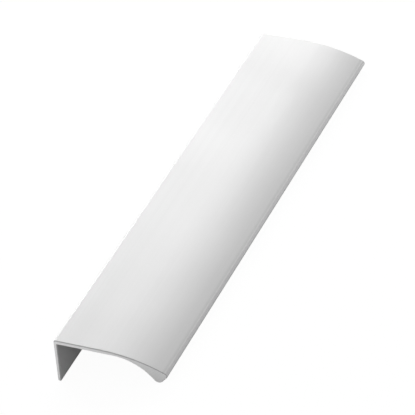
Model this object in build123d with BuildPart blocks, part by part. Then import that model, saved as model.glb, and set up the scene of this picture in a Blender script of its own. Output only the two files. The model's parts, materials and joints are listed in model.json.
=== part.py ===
from build123d import *
from math import asin, atan2, cos, degrees, hypot, radians, sin, sqrt
import os

# Edge pull for a drawer front: one length of aluminium extrusion.
# The flange screws to the back of the front, the flat top lies on its upper edge,
# and the crowned pull reaches over it and ends in a lip with a hollow finger grip.
# The section is drawn in its own plane, with the back face at 0 and the top at 0.
# The finished length lies as it rests on a level floor: X along its length,
# the lip towards -Y, and the origin under the middle of its box.

# Driving dimensions, in millimetres and degrees
length = 200.0
depth = 43.8                # back face to the corner of the nose, before rounding
flat_width = 18.0           # flat part of the top
top_thickness = 1.6
flange_height = 18.4
flange_thickness = 1.2
crown_radius = 62.0         # outer face of the pull, tangent to the flat top
front_length = 6.9          # face below the nose, between its corners before rounding
front_lean = 42.0           # that face leans back from upright
grip_radius = 19.6          # hollow behind the lip, tangent to the underside of the top
nose_radius = 1.2
tip_radius = 2.0
back_radius = 0.8           # outer corner between the flange and the top
seat_radius = 0.3           # inner corner between the flange and the top
flange_edge_radius = 0.4    # both lower corners of the flange
end_break = 0.25            # chamfer round each sawn end

# Screw holes, countersunk from the back of the flange
hole_diameter = 4.0
countersink_diameter = 5.6
countersink_angle = 90.0
hole_end_distance = 20.0    # hole centre to the sawn end
hole_edge_distance = 8.5    # hole centre to the lower edge of the flange

# Corners of the section before rounding
lean = radians(front_lean)
crown_drop = crown_radius - sqrt(crown_radius**2 - (depth - flat_width) ** 2)
nose = Vector(depth, -crown_drop)
tip = nose - Vector(sin(lean), cos(lean)) * front_length
tip_drop = -tip.Y - top_thickness
grip_start = Vector(tip.X - sqrt(2 * grip_radius * tip_drop - tip_drop**2), -top_thickness)
crown_start = Vector(flat_width, 0)
back_corner = Vector(0, 0)
seat_corner = Vector(flange_thickness, -top_thickness)
flange_inner = Vector(flange_thickness, -flange_height)
flange_outer = Vector(0, -flange_height)

with BuildSketch() as section:
    with BuildLine():
        Line(back_corner, crown_start)
        RadiusArc(crown_start, nose, crown_radius)
        Line(nose, tip)
        RadiusArc(tip, grip_start, -grip_radius)
        Polyline(grip_start, seat_corner, flange_inner, flange_outer, back_corner)
    make_face()
    for corner, radius in (
        (nose, nose_radius),
        (tip, tip_radius),
        (back_corner, back_radius),
        (seat_corner, seat_radius),
        (flange_inner, flange_edge_radius),
        (flange_outer, flange_edge_radius),
    ):
        fillet(section.vertices().sort_by_distance(corner)[0], radius)

# Resting attitude: the floor touches the inner corner of the flange and the tip of the lip
rounds = section.edges().filter_by(GeomType.CIRCLE)
heel = rounds.sort_by_distance(flange_inner)[0].arc_center
toe = rounds.sort_by_distance(tip)[0].arc_center
span = toe - heel
radius_step = tip_radius - flange_edge_radius
tilt = atan2(span.Y, span.X) - asin(radius_step / hypot(span.X, span.Y))
lying = section.sketch.rotate(Axis.Z, -degrees(tilt)).bounding_box()
to_lip = Vector(0, -cos(tilt), -sin(tilt))
to_top = Vector(0, -sin(tilt), cos(tilt))
to_back = to_lip * -1
section_plane = Plane(
    origin=(0, (lying.min.X + lying.max.X) / 2, -lying.min.Y), x_dir=to_lip, z_dir=(-1, 0, 0)
)

# Back face of the flange, centred on the row of holes
hole_row = Plane(
    origin=section_plane.origin - to_top * (flange_height - hole_edge_distance),
    x_dir=(1, 0, 0),
    z_dir=to_back,
)

with BuildPart() as handle_profile:
    with BuildSketch(section_plane):
        add(section.sketch)
    extrude(amount=length / 2, both=True)
    chamfer(handle_profile.faces().filter_by(Axis.X).edges(), end_break)
    with Locations(hole_row):
        with GridLocations(length - 2 * hole_end_distance, 0, 2, 1):
            CounterSinkHole(
                radius=hole_diameter / 2,
                counter_sink_radius=countersink_diameter / 2,
                depth=flange_thickness,
                counter_sink_angle=countersink_angle,
            )

handle_profile.part.label = "handle_profile"
os.makedirs("parts", exist_ok=True)
export_step(handle_profile.part, "parts/handle_profile.step")
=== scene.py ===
import json
import math

import bpy
from mathutils import Matrix, Vector


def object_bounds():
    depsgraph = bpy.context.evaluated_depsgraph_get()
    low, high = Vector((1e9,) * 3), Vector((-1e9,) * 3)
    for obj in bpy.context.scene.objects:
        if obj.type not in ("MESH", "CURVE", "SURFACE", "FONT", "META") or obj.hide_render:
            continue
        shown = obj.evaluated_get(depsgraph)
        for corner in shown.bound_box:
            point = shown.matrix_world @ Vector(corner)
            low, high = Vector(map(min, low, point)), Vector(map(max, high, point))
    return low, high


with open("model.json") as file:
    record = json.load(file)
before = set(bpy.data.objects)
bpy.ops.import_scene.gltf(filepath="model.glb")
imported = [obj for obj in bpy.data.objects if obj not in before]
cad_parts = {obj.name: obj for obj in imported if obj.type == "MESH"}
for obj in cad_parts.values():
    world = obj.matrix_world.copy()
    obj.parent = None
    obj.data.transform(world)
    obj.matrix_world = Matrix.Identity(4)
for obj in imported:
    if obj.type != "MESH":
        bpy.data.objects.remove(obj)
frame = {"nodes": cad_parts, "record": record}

cad_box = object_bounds()

MM = 0.001
WHITE = (1.0, 1.0, 1.0, 1.0)

# The handle's own measures, from the frame
MOUNTS = {mount["name"]: mount for mount in frame["record"]["mounts"]}
SCREWS = MOUNTS["flange_screws"]
HALF_LENGTH = cad_box[1][0]
HALF_WIDTH = cad_box[1][1]
HOLE_ALONG = SCREWS["dims"]["pcd_mm"] * MM / 2
HOLE_RADIUS = SCREWS["dims"]["hole_r_mm"] * MM
HOLE_PLACE = Vector(SCREWS["pos_m"])
HOLE_AXIS = Vector(SCREWS["axis"])

# Camera, fitted to the edges of the handle in the picture
AZIMUTH = -57.167
ELEVATION = 30.400
ROLL = -18.668
DISTANCE = 1.24453
AIM = Vector((-3.023, 2.059, 6.580)) * MM
SENSOR_WIDTH = 36.0
LENS = 291.008
CLIP_START = 0.01

# Light: an even room that is dimmer overhead, and soft lamps beyond the far end and behind
ROOM_LOW = 0.639
ROOM_HIGH = 0.350
LAMP_AIM = Vector((0.0, 0.0, 0.01))
LAMP_DISTANCE = 1.0
LAMP_SIZE = 0.45
# Azimuth from +X towards +Y and elevation in degrees, and power in watts
LAMPS = {
    "key": (6.0, 36.0, 1.75),
    "rim": (46.0, 26.0, 2.33),
}

# Floor: white to the eye apart from a faint shadow, plain paper close to the handle for reflections
FLOOR_SIZE = 6.0
FLOOR_COLOR = (0.93, 0.93, 0.93, 1.0)
FLOOR_LIFT = 0.92           # share of white over the paper, where it is lifted
FLOOR_WHITE = 1.04          # strength of that white
PAPER_NEAR = 2.0 * MM       # reflections see plain paper up to this far from the handle
PAPER_FAR = 60.0 * MM       # and lifted paper from here on

# Satin aluminium
METAL_COLOR = (0.80, 0.80, 0.80)
METAL_ROUGHNESS = 0.58
# Marks all over it: waves per metre along each axis, then shares in tone, roughness and height
DRAWN_MARKS = {
    "wide lines": ((5.0, 260.0, 260.0), (0.04, 0.0, 0.012 * MM)),
    "narrow lines": ((9.0, 1500.0, 1500.0), (0.06, 0.12, 0.006 * MM)),
    "matte grain": ((3600.0, 3600.0, 3600.0), (0.05, 0.12, 0.003 * MM)),
    "soft clouds": ((22.0, 22.0, 22.0), (0.0, 0.08, 0.0)),
}
NOISE_DETAIL = 2.0          # finer steps within the marks, and within the arcs and rings below
NOISE_MIDDLE = 0.5          # taken off, so that they all lie about 0
# Sawn ends: the broken edge with a line of painted shade along it, the cut face with a tone that is
# partly painted light, and the arcs of the blade
EDGE_BREAK = 0.25 * MM
EDGE_MARGIN = 0.0125 * MM   # the line's inner side blends over this, to either side
# Painted shade: the broken edge is darkened by this tone
EDGE_PAINTED_SHADE_TONE = 0.76
CUT_MARGIN = 0.025 * MM     # the cut face blends out over this
# Partly painted light: the bare cut face is lighter, and raised further to stand in for light on the
# end
CUT_TONE_AND_PAINTED_LIGHT = 1.20
CUT_ROUGHNESS = 0.80
CUT_CENTRE = Vector((0.0, 0.07, 0.14))
CUT_WAVES = 4000.0
# Nose: its rounding, and a faint band of painted shade beside it
NOSE_RADIUS = 1.2 * MM
NOSE_HEIGHT = 2.94 * MM     # centre of the rounding above the floor
NOSE_MARGIN = 0.1 * MM      # the rounding blends into the line over this
NOSE_SHADE_REACH = 0.75 * MM       # the painted shade has faded out this far from the rounding
# Painted shade: the tone of the darker band beside the nose
NOSE_PAINTED_SHADE_TONE = 0.915
# Countersinks: the turned metal of the cone and the bore, and its rings
SINK_TONE = 1.08
SINK_ROUGHNESS = 0.28
SINK_START = 0.4 * MM       # the cone opens from this far behind the flange's seat
SINK_INNER = 0.03 * MM      # the turned look is full up to this far outside the hole
SINK_OUTER = 0.06 * MM      # and gone from here on
SINK_WAVES = 6000.0
# Shares of the arcs and the rings in tone, roughness and height
TOOL_MARKS = (0.10, 0.0, 0.008 * MM)


def link(obj):
    """Puts a new object into the scene."""
    bpy.context.scene.collection.objects.link(obj)
    return obj


def add(tree, kind, inputs, **settings):
    """Adds a shader node. An input that is another node's output is linked, and any other is set."""
    node = tree.nodes.new("ShaderNode" + kind)
    for name, value in settings.items():
        setattr(node, name, value)
    for key, value in inputs.items():
        if isinstance(value, bpy.types.NodeSocket):
            tree.links.new(value, node.inputs[key])
        else:
            node.inputs[key].default_value = value
    return node


def sums(tree, operation, *values):
    """One step of arithmetic on numbers."""
    return add(tree, "Math", dict(enumerate(values)), operation=operation).outputs["Value"]


def vectors(tree, operation, *values):
    """One step of arithmetic on vectors."""
    node = add(tree, "VectorMath", dict(enumerate(values)), operation=operation)
    return node.outputs["Value" if operation in ("DOT_PRODUCT", "LENGTH") else "Vector"]


def scaled(tree, vector, factor):
    """A vector times a number."""
    inputs = {0: vector, "Scale": factor}
    return add(tree, "VectorMath", inputs, operation="SCALE").outputs["Vector"]


def ramp(tree, value, start, end):
    """A smooth step from 0 at start to 1 at end."""
    inputs = {0: value, 1: start, 2: end}
    return add(tree, "MapRange", inputs, interpolation_type="SMOOTHSTEP").outputs["Result"]


def noise(tree, place, waves):
    """Soft noise about 0, with its own number of waves per metre along each axis."""
    inputs = {"Vector": vectors(tree, "MULTIPLY", place, waves), "Scale": 1.0, "Detail": NOISE_DETAIL}
    return sums(tree, "SUBTRACT", add(tree, "TexNoise", inputs).outputs[0], NOISE_MIDDLE)


def rings(tree, distance, waves):
    """Uneven rings about 0, at a number of waves per metre of distance."""
    inputs = {"W": sums(tree, "MULTIPLY", distance, waves), "Scale": 1.0, "Detail": NOISE_DETAIL}
    node = add(tree, "TexNoise", inputs, noise_dimensions="1D")
    return sums(tree, "SUBTRACT", node.outputs[0], NOISE_MIDDLE)


def total(tree, start, layers, part):
    """A start value plus each layer times its share in one part: tone, roughness or height."""
    for value, shares in layers:
        if shares[part]:
            start = sums(tree, "MULTIPLY_ADD", value, shares[part], start)
    return start


def make_camera():
    """The picture's camera, with its roll about the line of sight."""
    data = bpy.data.cameras.new("picture_camera")
    data.sensor_fit = "HORIZONTAL"
    data.sensor_width = SENSOR_WIDTH
    data.lens = LENS
    data.clip_start = CLIP_START
    turn = Matrix.Rotation(math.radians(AZIMUTH), 4, "Z")
    nod = Matrix.Rotation(math.radians(90.0 - ELEVATION), 4, "X")
    roll = Matrix.Rotation(math.radians(ROLL), 4, "Z")
    attitude = turn @ nod @ roll
    sight = attitude.to_3x3() @ Vector((0.0, 0.0, -1.0))
    camera = link(bpy.data.objects.new("picture_camera", data))
    camera.matrix_world = Matrix.Translation(AIM - sight * DISTANCE) @ attitude
    bpy.context.scene.camera = camera


def make_softbox(name, azimuth, elevation, power):
    """A square area lamp that faces the handle."""
    data = bpy.data.lights.new(name, "AREA")
    data.shape = "SQUARE"
    data.size = LAMP_SIZE
    data.energy = power
    level, up = math.radians(azimuth), math.radians(elevation)
    way = Vector((math.cos(up) * math.cos(level), math.cos(up) * math.sin(level), math.sin(up)))
    lamp = link(bpy.data.objects.new(name, data))
    lamp.location = LAMP_AIM + way * LAMP_DISTANCE
    lamp.rotation_euler = way.to_track_quat("Z", "Y").to_euler()
    lamp.visible_camera = False


def make_world():
    """Soft light from all round, dimmer overhead, and white where the camera sees it."""
    world = bpy.data.worlds.new("studio")
    world.use_nodes = True
    tree = world.node_tree
    tree.nodes.clear()
    way = add(tree, "TexCoord", {}).outputs["Generated"]
    height = add(tree, "SeparateXYZ", {0: way}).outputs["Z"]
    level = add(tree, "MapRange", {0: height, 3: ROOM_LOW, 4: ROOM_HIGH})
    room = add(tree, "Background", {"Color": WHITE, "Strength": level.outputs["Result"]})
    white = add(tree, "Background", {"Color": WHITE, "Strength": 1.0})
    seen = add(tree, "LightPath", {}).outputs["Is Camera Ray"]
    mix = add(tree, "MixShader", {0: seen, 1: room.outputs[0], 2: white.outputs[0]})
    add(tree, "OutputWorld", {"Surface": mix.outputs[0]})
    bpy.context.scene.world = world


def paper():
    """Pale paper that is clear from below.

    It is lifted to white for the camera, and for reflections of it away from the handle.
    """
    material = bpy.data.materials.new("floor_paper")
    material.use_nodes = True
    tree = material.node_tree
    tree.nodes.clear()
    path = add(tree, "LightPath", {}).outputs
    surface = add(tree, "NewGeometry", {}).outputs
    folded = vectors(tree, "ABSOLUTE", surface["Position"])
    outside = vectors(tree, "SUBTRACT", folded, (HALF_LENGTH, HALF_WIDTH, 0.0))
    gap = vectors(tree, "LENGTH", vectors(tree, "MAXIMUM", outside, (0.0, 0.0, 0.0)))
    away = ramp(tree, gap, PAPER_NEAR, PAPER_FAR)
    mirrored = sums(tree, "MULTIPLY", path["Is Glossy Ray"], away)
    seen = sums(tree, "MAXIMUM", path["Is Camera Ray"], mirrored)
    lift = sums(tree, "MULTIPLY", seen, FLOOR_LIFT)
    plain = add(tree, "BsdfDiffuse", {"Color": FLOOR_COLOR})
    white = add(tree, "Emission", {"Color": WHITE, "Strength": FLOOR_WHITE})
    above = add(tree, "MixShader", {0: lift, 1: plain.outputs[0], 2: white.outputs[0]})
    below = add(tree, "BsdfTransparent", {"Color": WHITE})
    mix = add(tree, "MixShader", {0: surface["Backfacing"], 1: above.outputs[0], 2: below.outputs[0]})
    add(tree, "OutputMaterial", {"Surface": mix.outputs[0]})
    return material


def make_floor():
    """A pale floor under the handle."""
    half = FLOOR_SIZE / 2
    mesh = bpy.data.meshes.new("floor")
    corners = [(-half, -half, 0.0), (half, -half, 0.0), (half, half, 0.0), (-half, half, 0.0)]
    mesh.from_pydata(corners, [], [(0, 1, 2, 3)])
    mesh.materials.append(paper())
    link(bpy.data.objects.new("floor", mesh))


def satin_aluminium():
    """Satin anodised aluminium: drawn lines, sawn ends with a painted dark line on the broken edge and
    a cut face partly painted lighter, painted shade beside the nose, turned countersinks.
    """
    material = bpy.data.materials.new("satin_aluminium")
    material.use_nodes = True
    tree = material.node_tree
    shader = tree.nodes["Principled BSDF"]
    shader.inputs["Metallic"].default_value = 1.0
    place = add(tree, "TexCoord", {}).outputs["Object"]
    axes = add(tree, "SeparateXYZ", {0: place}).outputs
    along = sums(tree, "ABSOLUTE", axes["X"])
    layers = [(noise(tree, place, waves), shares) for waves, shares in DRAWN_MARKS.values()]

    # The end face, and a thin line of painted shade where its edge was broken
    inset = sums(tree, "SUBTRACT", HALF_LENGTH, along)
    sawn = ramp(tree, inset, CUT_MARGIN, 0.0)
    broken = ramp(tree, inset, EDGE_BREAK + EDGE_MARGIN, EDGE_BREAK - EDGE_MARGIN)
    painted_edge_shade = sums(tree, "SUBTRACT", broken, sawn)
    across = add(tree, "CombineXYZ", {"Y": axes["Y"], "Z": axes["Z"]}).outputs["Vector"]
    sweep = vectors(tree, "LENGTH", vectors(tree, "SUBTRACT", across, CUT_CENTRE))
    layers += [
        (painted_edge_shade, (EDGE_PAINTED_SHADE_TONE - 1.0, 0.0, 0.0)),
        # The cut face's lighter tone, partly painted light, with its own roughness
        (sawn, (CUT_TONE_AND_PAINTED_LIGHT - 1.0, CUT_ROUGHNESS - METAL_ROUGHNESS, 0.0)),
        (sums(tree, "MULTIPLY", rings(tree, sweep, CUT_WAVES), sawn), TOOL_MARKS),
    ]

    # Painted shade: a darker band where the crown runs into the rounded nose
    spoke = vectors(tree, "SUBTRACT", across, (0.0, NOSE_RADIUS - HALF_WIDTH, NOSE_HEIGHT))
    beyond = sums(tree, "SUBTRACT", vectors(tree, "LENGTH", spoke), NOSE_RADIUS)
    rounded = ramp(tree, beyond, NOSE_MARGIN, 0.0)
    line = sums(tree, "SUBTRACT", ramp(tree, beyond, NOSE_SHADE_REACH, NOSE_MARGIN), rounded)
    drawn = sums(tree, "SUBTRACT", 1.0, sawn)
    # The band of painted shade darkens the tone, and is kept off the cut face
    layers.append((sums(tree, "MULTIPLY", line, drawn), (NOSE_PAINTED_SHADE_TONE - 1.0, 0.0, 0.0)))

    # The cone and the bore of the nearer screw hole
    mirrored = add(tree, "CombineXYZ", {"X": along, "Y": axes["Y"], "Z": axes["Z"]}).outputs["Vector"]
    arm = vectors(tree, "SUBTRACT", mirrored, (HOLE_ALONG, HOLE_PLACE.y, HOLE_PLACE.z))
    height = vectors(tree, "DOT_PRODUCT", arm, HOLE_AXIS)
    radius = vectors(tree, "LENGTH", vectors(tree, "CROSS_PRODUCT", arm, HOLE_AXIS))
    cone = sums(tree, "MAXIMUM", sums(tree, "SUBTRACT", height, SINK_START), 0.0)
    over = sums(tree, "SUBTRACT", sums(tree, "SUBTRACT", radius, cone), HOLE_RADIUS)
    turned = ramp(tree, over, SINK_OUTER, SINK_INNER)
    layers += [
        (turned, (SINK_TONE - 1.0, SINK_ROUGHNESS - METAL_ROUGHNESS, 0.0)),
        (sums(tree, "MULTIPLY", rings(tree, radius, SINK_WAVES), turned), TOOL_MARKS),
    ]

    tone, rough, relief = (
        total(tree, start, layers, part) for part, start in enumerate((1.0, METAL_ROUGHNESS, 0.0))
    )
    bump = add(tree, "Bump", {"Height": relief, "Distance": 1.0, "Strength": 1.0})
    tree.links.new(scaled(tree, METAL_COLOR, tone), shader.inputs["Base Color"])
    tree.links.new(rough, shader.inputs["Roughness"])
    tree.links.new(bump.outputs["Normal"], shader.inputs["Normal"])
    return material


make_camera()
make_world()
make_floor()
for lamp_name, setting in LAMPS.items():
    make_softbox(lamp_name, *setting)
handle = frame["nodes"]["handle_profile"]
handle.material_slots[0].material = satin_aluminium()

bpy.context.scene.view_settings.view_transform = "Standard"
